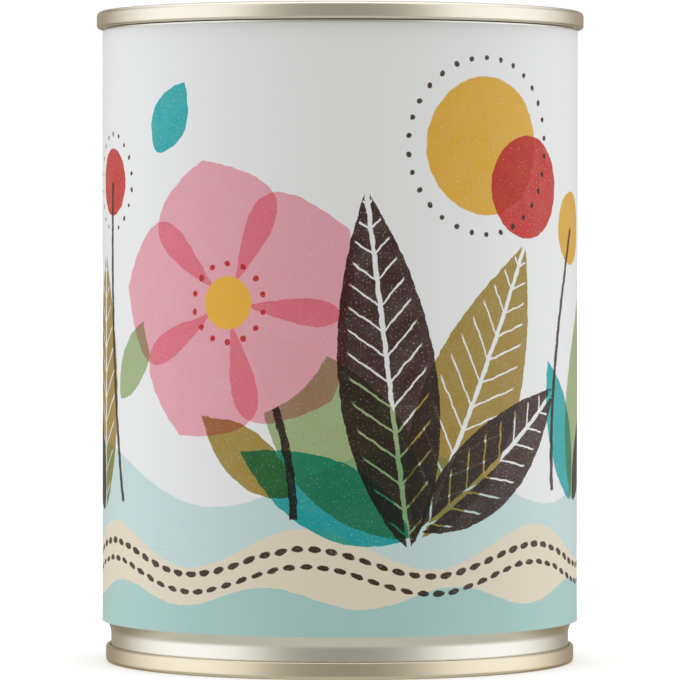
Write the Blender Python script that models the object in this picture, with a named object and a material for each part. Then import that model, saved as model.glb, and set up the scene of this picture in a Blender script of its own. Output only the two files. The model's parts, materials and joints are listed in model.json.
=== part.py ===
"""A steel food can with a wrap-around paper label, packed with pieces of young jackfruit.

Units are metres. +Z is up, the can stands on z = 0 and its axis is the Z axis.
The front of the label faces -Y, and its glued lap is at the back, on +Y.

The body is a tube with a necked-in foot. Each end is a pressed disc, and a double seam joins
it to the body: five layers of hooked sheet, lying in order from the outside inwards as the
end's cover wall, the body's hook, the end's hook, the body's wall and the end's chuck wall.
"""

import math
import random

import bmesh
import bpy

# Overall size
CAN_HEIGHT = 0.1159
BODY_BORE_RADIUS = 0.042
TOP_SEAM_RADIUS = 0.0435
BASE_SEAM_RADIUS = 0.04186
TOP_SEAM_HEIGHT = 0.003
BASE_SEAM_HEIGHT = 0.0031
TURN_STEPS = 48

# Sheet
BODY_SHEET = 0.0002
END_SHEET = 0.00022
LAYER_GAP = 0.0001

# Double seam
SEAM_CROWN_FLAT = 0.0002
TOP_SEAM_SHOULDER = 0.00075
BASE_SEAM_SHOULDER = 0.0006
SEAM_FOOT_RADIUS = 0.0004
CROWN_TO_BODY_BEND = 0.00104
HOOK_LENGTH = 0.0014
END_HOOK_CLEARANCE = 0.00015

# Ends
PANEL_DEPTH = 0.0043
COUNTERSINK_DEPTH = 0.00495
COUNTERSINK_RADIUS = 0.0006
CHUCK_WALL_TAPER = 0.0005
PANEL_EDGE_RADIUS = 0.0003
RING_STEP_WIDTH = 0.001
# Each ring of the panel: its outer edge from the axis, and how far it lies below the panel's rim
PANEL_RINGS = ((0.0365, 0.0005), (0.0290, 0.0001), (0.0250, 0.0006))

# Body
FLARE_HEIGHT = 0.0004
NECK_TOP = 0.009
NECK_FOOT = 0.005

# Label
LABEL_FOOT = 0.0074
LABEL_HEAD = 0.1124
LABEL_PAPER = 0.00012
LABEL_CLEARANCE = 0.00015
LABEL_LAP_GAP = 0.00006

# Sealing compound, a thin rubbery ring in the crown of each seam
COMPOUND_WIDTH = 0.00034
COMPOUND_HEIGHT = 0.00022
COMPOUND_BELOW_CROWN = 0.00048
COMPOUND_INSIDE_BEND = 0.0001

# Fruit: layers of wedges, each in its own sector round the can's axis
FRUIT_LAYERS = 4
FRUIT_PER_LAYER = 5
FRUIT_FLOOR = 0.0056
FRUIT_LAYER_PITCH = 0.0238
FRUIT_HEIGHT = 0.0222
FRUIT_ROUNDING = 0.002
FRUIT_SEED = 7
# Plan of one wedge: distance from the can's axis, and half its width there
FRUIT_PLAN = ((0.0075, 0.0038), (0.0305, 0.0192), (0.0365, 0.0088))
# The least share of its full size that an uneven wedge keeps, corner by corner
FRUIT_LEAST_REACH = 0.95
FRUIT_LEAST_SIZE = 0.86
FRUIT_TOP_SIZE = 0.95


def clear_scene():
    for obj in list(bpy.data.objects):
        bpy.data.objects.remove(obj, do_unlink=True)


def material(name, colour, roughness, metallic=0.0):
    made = bpy.data.materials.new(name)
    made.use_nodes = True
    shader = made.node_tree.nodes["Principled BSDF"]
    shader.inputs["Base Color"].default_value = (*colour, 1.0)
    shader.inputs["Roughness"].default_value = roughness
    shader.inputs["Metallic"].default_value = metallic
    made.diffuse_color = (*colour, 1.0)
    return made


def arc(centre, radius, start, end, steps):
    """Points (r, z) of an arc about centre, from one angle to another in degrees."""
    turns = [math.radians(start + (end - start) * i / steps) for i in range(steps + 1)]
    return [(centre[0] + radius * math.cos(t), centre[1] + radius * math.sin(t)) for t in turns]


def sheet_outline(path, thickness):
    """The two faces of a sheet whose middle follows path: back along its right side, out along its left."""
    half = thickness / 2
    normals = []
    for (r0, z0), (r1, z1) in zip(path, path[1:]):
        length = math.hypot(r1 - r0, z1 - z0)
        normals.append(((z0 - z1) / length, (r1 - r0) / length))
    left, right = [], []
    for i, (r, z) in enumerate(path):
        before = normals[max(i - 1, 0)]
        after = normals[min(i, len(normals) - 1)]
        share = half / (1 + before[0] * after[0] + before[1] * after[1])
        dr, dz = (before[0] + after[0]) * share, (before[1] + after[1]) * share
        left.append((r + dr, z + dz))
        right.append((r - dr, z - dz))
    return right[::-1] + left


def turned(name, outline, look, closed=True):
    """A solid of revolution about Z. An open outline starts and ends on the axis."""
    mesh = bpy.data.meshes.new(name)
    shape = bmesh.new()
    corners = [shape.verts.new((r, 0.0, z)) for r, z in outline]
    pairs = list(zip(corners, corners[1:]))
    if closed:
        pairs.append((corners[-1], corners[0]))
    edges = [shape.edges.new(pair) for pair in pairs]
    bmesh.ops.spin(
        shape, geom=corners + edges, cent=(0, 0, 0), axis=(0, 0, 1), angle=2 * math.pi, steps=TURN_STEPS, use_merge=True
    )
    bmesh.ops.remove_doubles(shape, verts=shape.verts, dist=1e-6)
    bmesh.ops.recalc_face_normals(shape, faces=shape.faces)
    shape.to_mesh(mesh)
    shape.free()
    mesh.shade_smooth()
    mesh.set_sharp_from_angle(angle=math.radians(40))
    mesh.materials.append(look)
    obj = bpy.data.objects.new(name, mesh)
    bpy.context.scene.collection.objects.link(obj)
    return obj


def seam_layers(seam_radius):
    """Radius of the middle of each layer of a double seam, from the outside inwards."""
    radii, outside = {}, seam_radius
    for layer, sheet in (
        ("cover", END_SHEET),
        ("body_hook", BODY_SHEET),
        ("end_hook", END_SHEET),
        ("body", BODY_SHEET),
        ("chuck", END_SHEET),
    ):
        radii[layer] = outside - sheet / 2
        outside -= sheet + LAYER_GAP
    return radii


def body_hook(seam_radius):
    """Middle line of the body's flange in a seam, from its tip to the wall, with z down from the crown."""
    layers = seam_layers(seam_radius)
    bend = (layers["body_hook"] - layers["body"]) / 2
    centre = (layers["body"] + bend, -CROWN_TO_BODY_BEND - END_SHEET / 2)
    tip = (layers["body_hook"], centre[1] - HOOK_LENGTH)
    return [tip] + arc(centre, bend, 0, 180, 4)


def end_path(seam_radius, seam_height, shoulder):
    """Middle line of a pressed end, from the tip of its hook to the centre of its panel, z down from the crown."""
    layers = seam_layers(seam_radius)
    half = END_SHEET / 2
    fold = layers["cover"] - SEAM_FOOT_RADIUS - layers["end_hook"]
    foot = -seam_height + half
    tip = (layers["end_hook"], -CROWN_TO_BODY_BEND - half - END_HOOK_CLEARANCE)
    path = [tip]
    path += arc((layers["end_hook"] + fold, foot + fold), fold, 180, 270, 2)
    path += arc((layers["cover"] - SEAM_FOOT_RADIUS, foot + SEAM_FOOT_RADIUS), SEAM_FOOT_RADIUS, 270, 360, 2)[1:]
    path += arc((layers["cover"] - shoulder, -half - shoulder), shoulder, 0, 90, 2)
    inner = layers["cover"] - shoulder - SEAM_CROWN_FLAT - layers["chuck"]
    path += arc((layers["chuck"] + inner, -half - inner), inner, 90, 180, 2)
    groove = (layers["chuck"] - CHUCK_WALL_TAPER - COUNTERSINK_RADIUS, -COUNTERSINK_DEPTH + COUNTERSINK_RADIUS)
    path += arc(groove, COUNTERSINK_RADIUS, 360, 180, 4)
    rim_level = -PANEL_DEPTH - half
    edge = groove[0] - COUNTERSINK_RADIUS - PANEL_EDGE_RADIUS
    path += arc((edge, rim_level - PANEL_EDGE_RADIUS), PANEL_EDGE_RADIUS, 0, 90, 1)
    level = rim_level
    for radius, drop in PANEL_RINGS:
        path.append((radius, level))
        level = rim_level - drop
        path.append((radius - RING_STEP_WIDTH, level))
    path.append((0.0, level))
    return path


def placed(path, base, up):
    """A path given down from a seam's crown, set at height base. up is 1 at the top, -1 at the foot of the can."""
    return [(r, base + up * z) for r, z in path]


def neck():
    """Middle line of the body's necked-in foot: two equal arcs that make an S, from the wall to the neck."""
    wall = BODY_BORE_RADIUS + BODY_SHEET / 2
    throat = seam_layers(BASE_SEAM_RADIUS)["body"]
    drop, inset = NECK_TOP - NECK_FOOT, wall - throat
    radius = (drop**2 + inset**2) / (4 * inset)
    turn = math.degrees(math.asin(drop / 2 / radius))
    shoulder = arc((wall - radius, NECK_TOP), radius, 0, -turn, 3)
    hollow = arc((throat + radius, NECK_FOOT), radius, 180 - turn, 180, 3)
    return shoulder + hollow[1:]


def can_body(look):
    wall = BODY_BORE_RADIUS + BODY_SHEET / 2
    flare_foot = CAN_HEIGHT - TOP_SEAM_HEIGHT + END_SHEET - FLARE_HEIGHT
    top = placed(body_hook(TOP_SEAM_RADIUS), CAN_HEIGHT, 1)
    flare = [(top[-1][0], flare_foot + FLARE_HEIGHT), (wall, flare_foot)]
    foot = placed(body_hook(BASE_SEAM_RADIUS), 0.0, -1)[::-1]
    return turned("can_body", sheet_outline(top + flare + neck() + foot, BODY_SHEET), look)


def can_end(name, seam_radius, seam_height, shoulder, base, up, look):
    path = placed(end_path(seam_radius, seam_height, shoulder), base, up)
    return turned(name, sheet_outline(path, END_SHEET), look, closed=False)


def sealing_compound(name, seam_radius, base, up, look):
    layers = seam_layers(seam_radius)
    middle = (layers["body_hook"] + layers["body"]) / 2 - COMPOUND_INSIDE_BEND
    low, high = middle - COMPOUND_WIDTH / 2, middle + COMPOUND_WIDTH / 2
    bottom = -COMPOUND_BELOW_CROWN - COMPOUND_HEIGHT / 2
    section = [(low, bottom), (high, bottom), (high, bottom + COMPOUND_HEIGHT), (low, bottom + COMPOUND_HEIGHT)]
    return turned(name, placed(section, base, up), look)


def paper_label(look):
    """A strip wrapped once round the body. Its last step lies over its first, as the glued lap."""
    inner = BODY_BORE_RADIUS + BODY_SHEET + LABEL_CLEARANCE
    lift = LABEL_PAPER + LABEL_LAP_GAP
    step = 2 * math.pi / TURN_STEPS
    start = math.pi / 2 - step
    mesh = bpy.data.meshes.new("paper_label")
    shape = bmesh.new()
    sections = []
    for i in range(TURN_STEPS + 2):
        angle = start + i * step
        radius = inner + (lift if i >= TURN_STEPS else 0.0)
        sections.append(
            [
                shape.verts.new((r * math.cos(angle), r * math.sin(angle), z))
                for r, z in (
                    (radius, LABEL_FOOT),
                    (radius + LABEL_PAPER, LABEL_FOOT),
                    (radius + LABEL_PAPER, LABEL_HEAD),
                    (radius, LABEL_HEAD),
                )
            ]
        )
    for here, ahead in zip(sections, sections[1:]):
        for k in range(4):
            shape.faces.new((here[k], here[(k + 1) % 4], ahead[(k + 1) % 4], ahead[k]))
    shape.faces.new(sections[0])
    shape.faces.new(sections[-1])
    bmesh.ops.recalc_face_normals(shape, faces=shape.faces)
    shape.to_mesh(mesh)
    shape.free()
    mesh.materials.append(look)
    obj = bpy.data.objects.new("paper_label", mesh)
    bpy.context.scene.collection.objects.link(obj)
    return obj


def fruit_piece(name, angle, floor, chance, look):
    """A wedge of young fruit: an uneven plan under an uneven, slightly smaller top, with rounded edges."""
    mesh = bpy.data.meshes.new(name)
    shape = bmesh.new()
    plan = [(x, -half) for x, half in FRUIT_PLAN] + [(x, half) for x, half in reversed(FRUIT_PLAN)]
    corners = []
    for x, y in plan:
        reach, width = chance.uniform(FRUIT_LEAST_REACH, 1.0), chance.uniform(FRUIT_LEAST_SIZE, 1.0)
        corners.append(shape.verts.new((x * reach, y * width, 0.0)))
    raised = bmesh.ops.extrude_face_region(shape, geom=[shape.faces.new(corners)])["geom"]
    middle = sum(x for x, _ in FRUIT_PLAN) / len(FRUIT_PLAN)
    for vert in (v for v in raised if isinstance(v, bmesh.types.BMVert)):
        size = FRUIT_TOP_SIZE * chance.uniform(FRUIT_LEAST_SIZE, 1.0)
        vert.co.x = middle + (vert.co.x - middle) * size
        vert.co.y *= size
        vert.co.z = FRUIT_HEIGHT * chance.uniform(FRUIT_LEAST_SIZE, 1.0)
    bmesh.ops.bevel(shape, geom=list(shape.edges), offset=FRUIT_ROUNDING, segments=1, affect="EDGES")
    bmesh.ops.triangulate(shape, faces=shape.faces)
    bmesh.ops.recalc_face_normals(shape, faces=shape.faces)
    shape.to_mesh(mesh)
    shape.free()
    mesh.materials.append(look)
    obj = bpy.data.objects.new(name, mesh)
    obj.location = (0.0, 0.0, floor)
    obj.rotation_euler = (0.0, 0.0, angle)
    bpy.context.scene.collection.objects.link(obj)
    return obj


def fruit_fill(look):
    """Layers of wedges round the can's axis, each layer turned half a wedge from the one below."""
    chance = random.Random(FRUIT_SEED)
    sector = 2 * math.pi / FRUIT_PER_LAYER
    for layer in range(FRUIT_LAYERS):
        floor = FRUIT_FLOOR + layer * FRUIT_LAYER_PITCH
        for i in range(FRUIT_PER_LAYER):
            name = f"jackfruit_piece_{layer * FRUIT_PER_LAYER + i + 1:02d}"
            fruit_piece(name, sector * (i + layer % 2 / 2), floor, chance, look)


def main():
    clear_scene()
    tinplate = material("tinplate", (0.72, 0.71, 0.66), 0.28, 1.0)
    lacquered = material("lacquered_tinplate", (0.76, 0.70, 0.57), 0.3, 1.0)
    paper = material("label_paper", (0.83, 0.83, 0.81), 0.45)
    compound = material("sealing_compound", (0.55, 0.56, 0.52), 0.8)
    fruit = material("young_jackfruit", (0.80, 0.68, 0.52), 0.6)
    can_body(tinplate)
    can_end("top_end", TOP_SEAM_RADIUS, TOP_SEAM_HEIGHT, TOP_SEAM_SHOULDER, CAN_HEIGHT, 1, lacquered)
    can_end("bottom_end", BASE_SEAM_RADIUS, BASE_SEAM_HEIGHT, BASE_SEAM_SHOULDER, 0.0, -1, lacquered)
    sealing_compound("top_sealing_ring", TOP_SEAM_RADIUS, CAN_HEIGHT, 1, compound)
    sealing_compound("bottom_sealing_ring", BASE_SEAM_RADIUS, 0.0, -1, compound)
    paper_label(paper)
    fruit_fill(fruit)


main()
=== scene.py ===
"""Looks of a steel food can with a printed paper label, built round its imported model.

The file is laid out as a Blender add-on and run as a script. Lengths are metres unless a name
says mm. The can stands on z = 0 with its axis on Z, and the front of its label faces -Y.
"""

import json
import math

import bmesh
import bpy
import numpy as np
from bpy.props import FloatProperty, FloatVectorProperty, PointerProperty
from bpy.types import Operator, Panel, PropertyGroup
from mathutils import Euler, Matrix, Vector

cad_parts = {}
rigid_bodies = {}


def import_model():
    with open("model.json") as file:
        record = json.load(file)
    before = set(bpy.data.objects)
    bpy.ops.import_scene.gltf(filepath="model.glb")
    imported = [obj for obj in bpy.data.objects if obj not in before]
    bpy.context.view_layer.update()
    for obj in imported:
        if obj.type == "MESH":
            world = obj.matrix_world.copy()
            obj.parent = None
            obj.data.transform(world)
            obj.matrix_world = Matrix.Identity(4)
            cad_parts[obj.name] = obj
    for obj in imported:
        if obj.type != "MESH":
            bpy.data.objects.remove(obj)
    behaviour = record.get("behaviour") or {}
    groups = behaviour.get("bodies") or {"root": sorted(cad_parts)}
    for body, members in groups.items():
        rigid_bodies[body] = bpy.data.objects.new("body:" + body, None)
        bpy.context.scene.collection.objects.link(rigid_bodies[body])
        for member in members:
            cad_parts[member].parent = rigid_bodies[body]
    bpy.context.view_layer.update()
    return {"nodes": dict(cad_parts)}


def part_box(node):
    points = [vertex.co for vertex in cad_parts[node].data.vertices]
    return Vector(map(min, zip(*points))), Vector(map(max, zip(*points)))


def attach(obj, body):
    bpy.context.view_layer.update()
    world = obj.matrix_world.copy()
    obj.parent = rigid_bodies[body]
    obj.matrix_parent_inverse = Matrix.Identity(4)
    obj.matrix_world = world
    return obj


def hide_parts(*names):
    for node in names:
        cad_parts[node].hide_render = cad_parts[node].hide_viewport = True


bl_info = {
    "name": "Food Can",
    "version": (1, 0, 0),
    "blender": (4, 5, 0),
    "location": "3D View > Sidebar > Food Can",
    "description": "Seamed steel food can with a wrap-around printed paper label",
    "category": "Add Mesh",
}

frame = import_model()
TOP_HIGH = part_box("top_end")[1]
FOOT_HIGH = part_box("bottom_end")[1]
LABEL_LOW, LABEL_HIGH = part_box("paper_label")
FRUIT_NODES = sorted(name for name in frame["nodes"] if name.startswith("jackfruit_piece"))

# Fineness of the meshes: steps round the can and over the weld's angle, then along a sheet's bends
# and straight stretches, then along and up the label, whose rows lie closer at its edges
AROUND = 256
WELD_STEPS = 24
BEND_STEPS = 12
CORNER_STEPS = 6
FOLD_STEPS = 4
SHOULDER_STEPS = 8
PANEL_POINTS = 64
WALL_STEPS = 30
LABEL_STEPS_ALONG = 288
LABEL_STEPS_UP = 84
LABEL_ROW_CROWDING = 0.055

# Roughness of the metal, before its lines and clouds
BODY_ROUGHNESS = 0.20
END_ROUGHNESS = 0.19

# Points closer than this are one, in a solid's mesh and in a path
SAME_POINT = 1e-6
SAME_PATH_POINT = 1e-8

# Double seam, as the solids have it
LAYER_GAP = 0.0001
SEAM_CROWN_FLAT = 0.0002
TOP_SEAM_SHOULDER = 0.00075
BASE_SEAM_SHOULDER = 0.0006
TOP_SEAM_HEIGHT = 0.003
BASE_SEAM_HEIGHT = 0.0031
SEAM_FOOT_RADIUS = 0.0004
CROWN_TO_BODY_BEND = 0.00104
HOOK_LENGTH = 0.0014
END_HOOK_CLEARANCE = 0.00015

# Ends
PANEL_DEPTH = 0.0043
COUNTERSINK_DEPTH = 0.00495
COUNTERSINK_RADIUS = 0.0006
CHUCK_WALL_TAPER = 0.0005
PANEL_EDGE_RADIUS = 0.0003
RING_STEP_WIDTH = 0.0012
# Each ring of the panel: its outer edge from the axis, and how far it lies below the panel's rim
PANEL_RINGS = ((0.0365, 0.0005), (0.0290, 0.0001), (0.0250, 0.0006))
# Where the straight lines of rolling give way to the lines that forming leaves
PANEL_LINES_END = (0.0374, 0.0380)

# Body
FLARE_HEIGHT = 0.0004
NECK_TOP = 0.009
NECK_FOOT = 0.005
WELD_ANGLE = math.pi / 2
WELD_HALF_WIDTH = 0.00045
WELD_HEIGHT = 0.00006
WELD_WOBBLE = 0.0003
WELD_HEAT = 0.75
WELD_HEAT_REACH = 0.0022
WELD_FADE = 0.0006
WELD_FINE_ANGLE = 0.06
SEAM_JUNCTURE_HALF_WIDTH = 0.0022
SEAM_JUNCTURE_HEIGHT = 0.00007
SEAM_JUNCTURE_FINE_ANGLE = 0.12

# Label: its strip starts just before the back and ends there, one lap further on. The last rows
# say how far its paper waves, how far its lower edge flutters, and how high that reaches.
FRONT_ANGLE = 1.5 * math.pi
LAP_START_ANGLE = math.radians(82.5)
LAP_SPAN = math.radians(7.5)
LAP_RAMP = math.radians(4)
LAP_GAP = 0.00004
PAPER_WAVE = 0.000012
PAPER_FLUTTER = 0.00006
PAPER_FLUTTER_REACH = 0.0022

# Print, in mm and degrees from the middle of the design at the label's foot. The first two are
# how soft the edge of a shape is, and how far noise moves it.
PRINT_EDGE = 0.14
PRINT_SHAKE = 0.7
# The share by which ink fails in specks and in clouds
INK_SPECKS = 0.30
INK_CLOUDS = 0.05
# Veins of a leaf: where the midrib's edge starts and ends, how far apart side veins are and how
# they slant, the same edge of a side vein as shares of that step, and how far out they reach
MIDRIB = (0.7, 0.95)
VEIN_STEP = 4.4
VEIN_SLANT = 0.45
VEIN_SHARE = (0.035, 0.065)
VEIN_REACH = (0.72, 0.80)
# Stems: foot, head, how far the middle bows to the right, and half the width
STEM_END = 0.004
STEMS = (
    ((-8.0, 20.0), (-20.0, 57.0), 3.0, 0.8),
    ((-47.0, 22.0), (-52.0, 78.0), -2.0, 0.6),
    ((45.0, 24.0), (54.0, 70.0), -3.0, 0.6),
)
# Leaves: root, direction, length, width, ink, and whether veins show
LEAVES = (
    ((14.0, 17.0), 66, 55.0, 20.0, "olive", True),
    ((13.0, 17.0), 128, 45.0, 21.0, "sage", False),
    ((12.0, 15.0), 97, 62.0, 17.5, "brown", True),
    ((12.0, 17.0), 154, 33.0, 13.0, "turquoise", False),
    ((14.0, 18.0), 37, 40.0, 14.0, "brown", True),
    ((-8.5, 24.0), 140, 22.0, 9.0, "olive", False),
    ((-57.0, 20.0), 90, 46.0, 15.0, "olive", True),
    ((-58.0, 20.0), 121, 26.0, 11.0, "brown", False),
    ((-48.0, 40.0), 52, 19.0, 8.0, "sage", False),
    ((55.0, 22.0), 80, 36.0, 13.0, "sage", False),
    ((54.0, 22.0), 113, 27.0, 10.0, "turquoise", False),
    ((56.0, 22.0), 52, 22.0, 9.0, "brown", False),
    ((-36.0, 83.0), 60, 14.0, 8.5, "turquoise", False),
)
# Discs: centre, radius and ink
DISCS = (
    ((27.0, 84.0), 12.0, "ochre"),
    ((37.0, 77.0), 9.0, "red"),
    ((-52.0, 78.0), 6.0, "red"),
    ((54.0, 70.0), 6.5, "ochre"),
)
# Rings of dots: centre, radius, how many, a dot's radius and the ink
DOT_RINGS = (
    ((27.0, 84.0), 15.2, 30, 0.55, "brown"),
    ((-20.0, 57.0), 6.8, 14, 0.6, "red"),
    ((-52.0, 78.0), 8.4, 18, 0.45, "brown"),
)
FLOWER = (-20.0, 57.0)
FLOWER_EYE = 4.6
PETALS = 5
PETAL_LENGTH = 25.0
PETAL_WIDTH = 25.0
PETAL_TURN = 12
PETAL_BELLY = 1.5
FLOWER_GROUND_SHARE = 0.8
# Waves, from the highest: level, swell, turns over the design, phase and ink
WAVES = (
    (27.0, 5.0, 2, 0.6, "pale_blue"),
    (15.0, 3.6, 3, 2.4, "cream"),
    (6.6, 1.8, 4, 4.0, "teal"),
)
# Rows of seeds along the cream wave: height, start and half a seed's height. Then half a seed's
# length, how soft its edge is, a row's swell, and how many seeds it has over the design's width.
SEED_ROWS = ((12.6, 0.0, 0.62), (9.6, 1.4, 0.54))
SEED_HALF_LENGTH = 1.15
SEED_EDGE = 0.3
SEED_SWELL = 2.4
SEEDS_ROUND = 46

# Creases: middle, half their length and half their width, and the share over which they fade
CREASES = (((-44.0, 14.0), 14.0, 0.5), ((-40.0, 12.4), 10.0, 0.4), ((-47.0, 8.2), 12.0, 0.5))
CREASE_FADE = 0.4

# Sealing compound
COMPOUND_WIDTH = 0.00034
COMPOUND_HEIGHT = 0.00022
COMPOUND_BELOW_CROWN = 0.00048
COMPOUND_INSIDE_BEND = 0.0001
COMPOUND_STEPS = 16

# Fruit: how often a solid is subdivided, then the depth of its grooves and how closely they lie,
# how far and how often round the can they sway, and how they lean away from its axis
FRUIT_ROUNDS = 3
FRUIT_GROOVE = 0.0005
FRUIT_GROOVE_PITCH = 0.0042
FRUIT_GROOVE_SWAY = 2.5
FRUIT_GROOVE_LOBES = 3
FRUIT_GROOVE_LEAN = 90

# Camera, from the photograph
CAMERA_LENS_MM = 256.0
CAMERA_SENSOR_MM = 36.0
CAMERA_CLIP_START = 0.05
CAMERA_DISTANCE = 0.8662
CAMERA_HEIGHT = 0.0736
CAMERA_PITCH = math.radians(-1.074)
CAMERA_ROLL = math.radians(-0.05)
FLOOR_REACH = 40.0

# Studio. The first table is the light that falls on the can, by the share of a half turn away
# from the room's front, which is turned a little from the camera's side. The second is what the
# metal mirrors there, and the third what it mirrors of the table, by how far behind that lies.
STUDIO_TURN = math.radians(4)
MIRRORED_TURN = math.radians(1.5)
STUDIO_ROUND = (
    (0.00, (0.44, 0.43, 0.385)),
    (0.10, (0.45, 0.44, 0.395)),
    (0.20, (0.61, 0.60, 0.55)),
    (0.29, (0.94, 0.93, 0.90)),
    (0.36, (1.18, 1.18, 1.17)),
    (0.42, (1.30, 1.31, 1.31)),
    (0.50, (1.37, 1.38, 1.40)),
    (0.60, (1.30, 1.31, 1.31)),
    (0.70, (1.06, 1.05, 1.02)),
    (0.80, (0.70, 0.68, 0.62)),
    (0.92, (0.52, 0.49, 0.42)),
    (1.00, (0.49, 0.46, 0.40)),
)
MIRRORED_ROUND = (
    (0.00, (0.39, 0.385, 0.345)),
    (0.09, (0.42, 0.415, 0.375)),
    (0.15, (0.51, 0.50, 0.455)),
    (0.20, (0.66, 0.65, 0.60)),
    (0.25, (0.97, 0.96, 0.93)),
    (0.30, (1.22, 1.22, 1.20)),
    (0.38, (1.31, 1.32, 1.32)),
    (0.50, (1.36, 1.37, 1.39)),
    (0.58, (1.27, 1.27, 1.26)),
    (0.64, (1.08, 1.06, 1.03)),
    (0.70, (0.85, 0.82, 0.77)),
    (0.76, (0.58, 0.53, 0.46)),
    (0.82, (0.43, 0.37, 0.29)),
    (1.00, (0.38, 0.34, 0.27)),
)
MIRRORED_TABLE = (
    (0.00, (0.65, 0.65, 0.58)),
    (0.06, (0.60, 0.60, 0.53)),
    (0.15, (0.68, 0.68, 0.60)),
    (0.36, (0.74, 0.71, 0.63)),
    (0.48, (0.62, 0.57, 0.45)),
    (0.62, (0.44, 0.39, 0.29)),
    (0.74, (0.33, 0.28, 0.20)),
    (0.85, (0.32, 0.26, 0.18)),
    (1.00, (0.40, 0.34, 0.27)),
)
# What the metal mirrors higher up: a dim gap between the walls and the light overhead, and that
# light, weaker towards the rear but less so at the sides. A pair is a change's start and end.
MIRRORED_LEAN = 0.3
MIRRORED_GAP = 0.30
MIRRORED_GAP_RISE = (0.44, 0.54)
MIRRORED_OVERHEAD = 1.45
MIRRORED_OVERHEAD_RISE = (0.58, 0.82)
MIRRORED_REAR_FALL = 0.75
MIRRORED_REAR = (0.15, 0.55)
MIRRORED_SIDES = (0.10, 0.35)
MIRRORED_SIDE_SHARE = 0.7
MIRRORED_TABLE_LEAN = 0.12
MIRRORED_TABLE_EDGE = (0.19, 0.37)
# Light that falls on the can from straight above and from below
STUDIO_ZENITH = (1.9, 1.9, 1.9)
STUDIO_ZENITH_RISE = (0.70, 0.92)
STUDIO_NADIR = (0.66, 0.66, 0.64)
STUDIO_NADIR_DROP = (0.10, 0.70)
NADIR_SHARE = 0.6
FLOOR_GLOW = 0.12
FLOOR_COLOUR = (0.95, 0.95, 0.95)


def length_property(name, description, default):
    return FloatProperty(name=name, description=description, default=default, unit="LENGTH")


def colour_property(name, description, default):
    return FloatVectorProperty(
        name=name, description=description, default=default, subtype="COLOR", min=0.0, max=1.0
    )


class FoodCanSizes(PropertyGroup):
    """Sizes that a maker would change."""

    can_height: length_property("Height", "From the bottom rim to the top rim", TOP_HIGH.z)
    top_seam_radius: length_property("Top seam radius", "Half the top seam's width", TOP_HIGH.x)
    foot_seam_radius: length_property("Foot seam radius", "Half the foot seam's width", FOOT_HIGH.x)
    bore_radius: length_property("Bore radius", "Inside radius of the body's straight wall", 0.042)
    body_sheet: length_property("Body sheet", "Thickness of the body's sheet", 0.0002)
    end_sheet: length_property("End sheet", "Thickness of the ends' sheet", 0.00022)
    label_foot: length_property("Label foot", "Height of the label's lower edge", LABEL_LOW.z)
    label_head: length_property("Label head", "Height of the label's upper edge", LABEL_HIGH.z)
    label_radius: length_property("Label radius", "Outside radius of the label", LABEL_HIGH.x)
    label_paper: length_property("Label paper", "Thickness of the label's paper", 0.00012)


class FoodCanColours(PropertyGroup):
    """Colours of the metal, the paper, its inks and the fruit."""

    tinplate: colour_property("Tinplate", "Bare metal of the body", (0.77, 0.75, 0.69))
    top_metal: colour_property("Top end", "Top end under clear lacquer", (0.78, 0.735, 0.64))
    foot_metal: colour_property("Foot end", "Foot end under warmer lacquer", (0.73, 0.65, 0.51))
    weld: colour_property("Weld", "Scaly line of the side weld", (0.36, 0.35, 0.36))
    weld_heat: colour_property("Weld heat", "Tint beside the side weld", (0.80, 0.66, 0.50))
    compound: colour_property("Sealing compound", "Lining in the seams", (0.55, 0.56, 0.52))
    flesh: colour_property("Fruit flesh", "Young fruit", (0.80, 0.68, 0.50))
    paper: colour_property("Paper", "Ground of the label", (0.89, 0.905, 0.93))
    brown: colour_property("Brown ink", "Stems, seeds and dark leaves", (0.052, 0.012, 0.006))
    red: colour_property("Red ink", "Smaller discs and a ring of dots", (0.67, 0.020, 0.010))
    ochre: colour_property("Ochre ink", "Discs and the flower's eye", (0.86, 0.47, 0.03))
    turquoise: colour_property("Turquoise ink", "Small leaves", (0.0, 0.46, 0.48))
    teal: colour_property("Pale teal ink", "Lowest wave", (0.42, 0.66, 0.65))
    pink: colour_property("Pink ink", "Petals", (0.93, 0.42, 0.50))
    sage: colour_property("Sage ink", "Pale leaves", (0.40, 0.52, 0.24))
    pale_blue: colour_property("Pale blue ink", "Highest wave", (0.66, 0.84, 0.83))
    cream: colour_property("Cream ink", "Middle wave", (0.84, 0.76, 0.61))
    olive: colour_property("Olive ink", "Veined leaves and others", (0.42, 0.28, 0.035))


def arc(centre, radius, start, end, steps):
    """Points of an arc: the centre plus radius times (cosine, sine) of even angles, in degrees."""
    turn = np.radians(np.linspace(start, end, steps + 1))
    return np.column_stack((centre[0] + radius * np.cos(turn), centre[1] + radius * np.sin(turn)))


def run(start, end, steps):
    """Points evenly spaced on the straight line between two points."""
    return np.linspace(start, end, steps + 1)


def chain(*stretches):
    """One path from several, without the points that repeat where they join."""
    path = np.vstack(stretches)
    apart = np.linalg.norm(np.diff(path, axis=0), axis=1) > SAME_PATH_POINT
    return path[np.concatenate(([True], apart))]


def smooth(x, low, high):
    """0 up to low, 1 from high on, and 3 t squared minus 2 t cubed between them."""
    t = np.clip((x - low) / (high - low), 0.0, 1.0)
    return t * t * (3 - 2 * t)


def left_normals(path):
    """Unit vectors a quarter turn to the left of the path. Its direction at a point is the sum of
    the unit steps on both sides."""
    steps = np.diff(path, axis=0)
    steps /= np.linalg.norm(steps, axis=1, keepdims=True)
    along = np.vstack((steps[:1], steps[:-1] + steps[1:], steps[-1:]))
    along /= np.linalg.norm(along, axis=1, keepdims=True)
    return np.column_stack((-along[:, 1], along[:, 0]))


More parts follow.
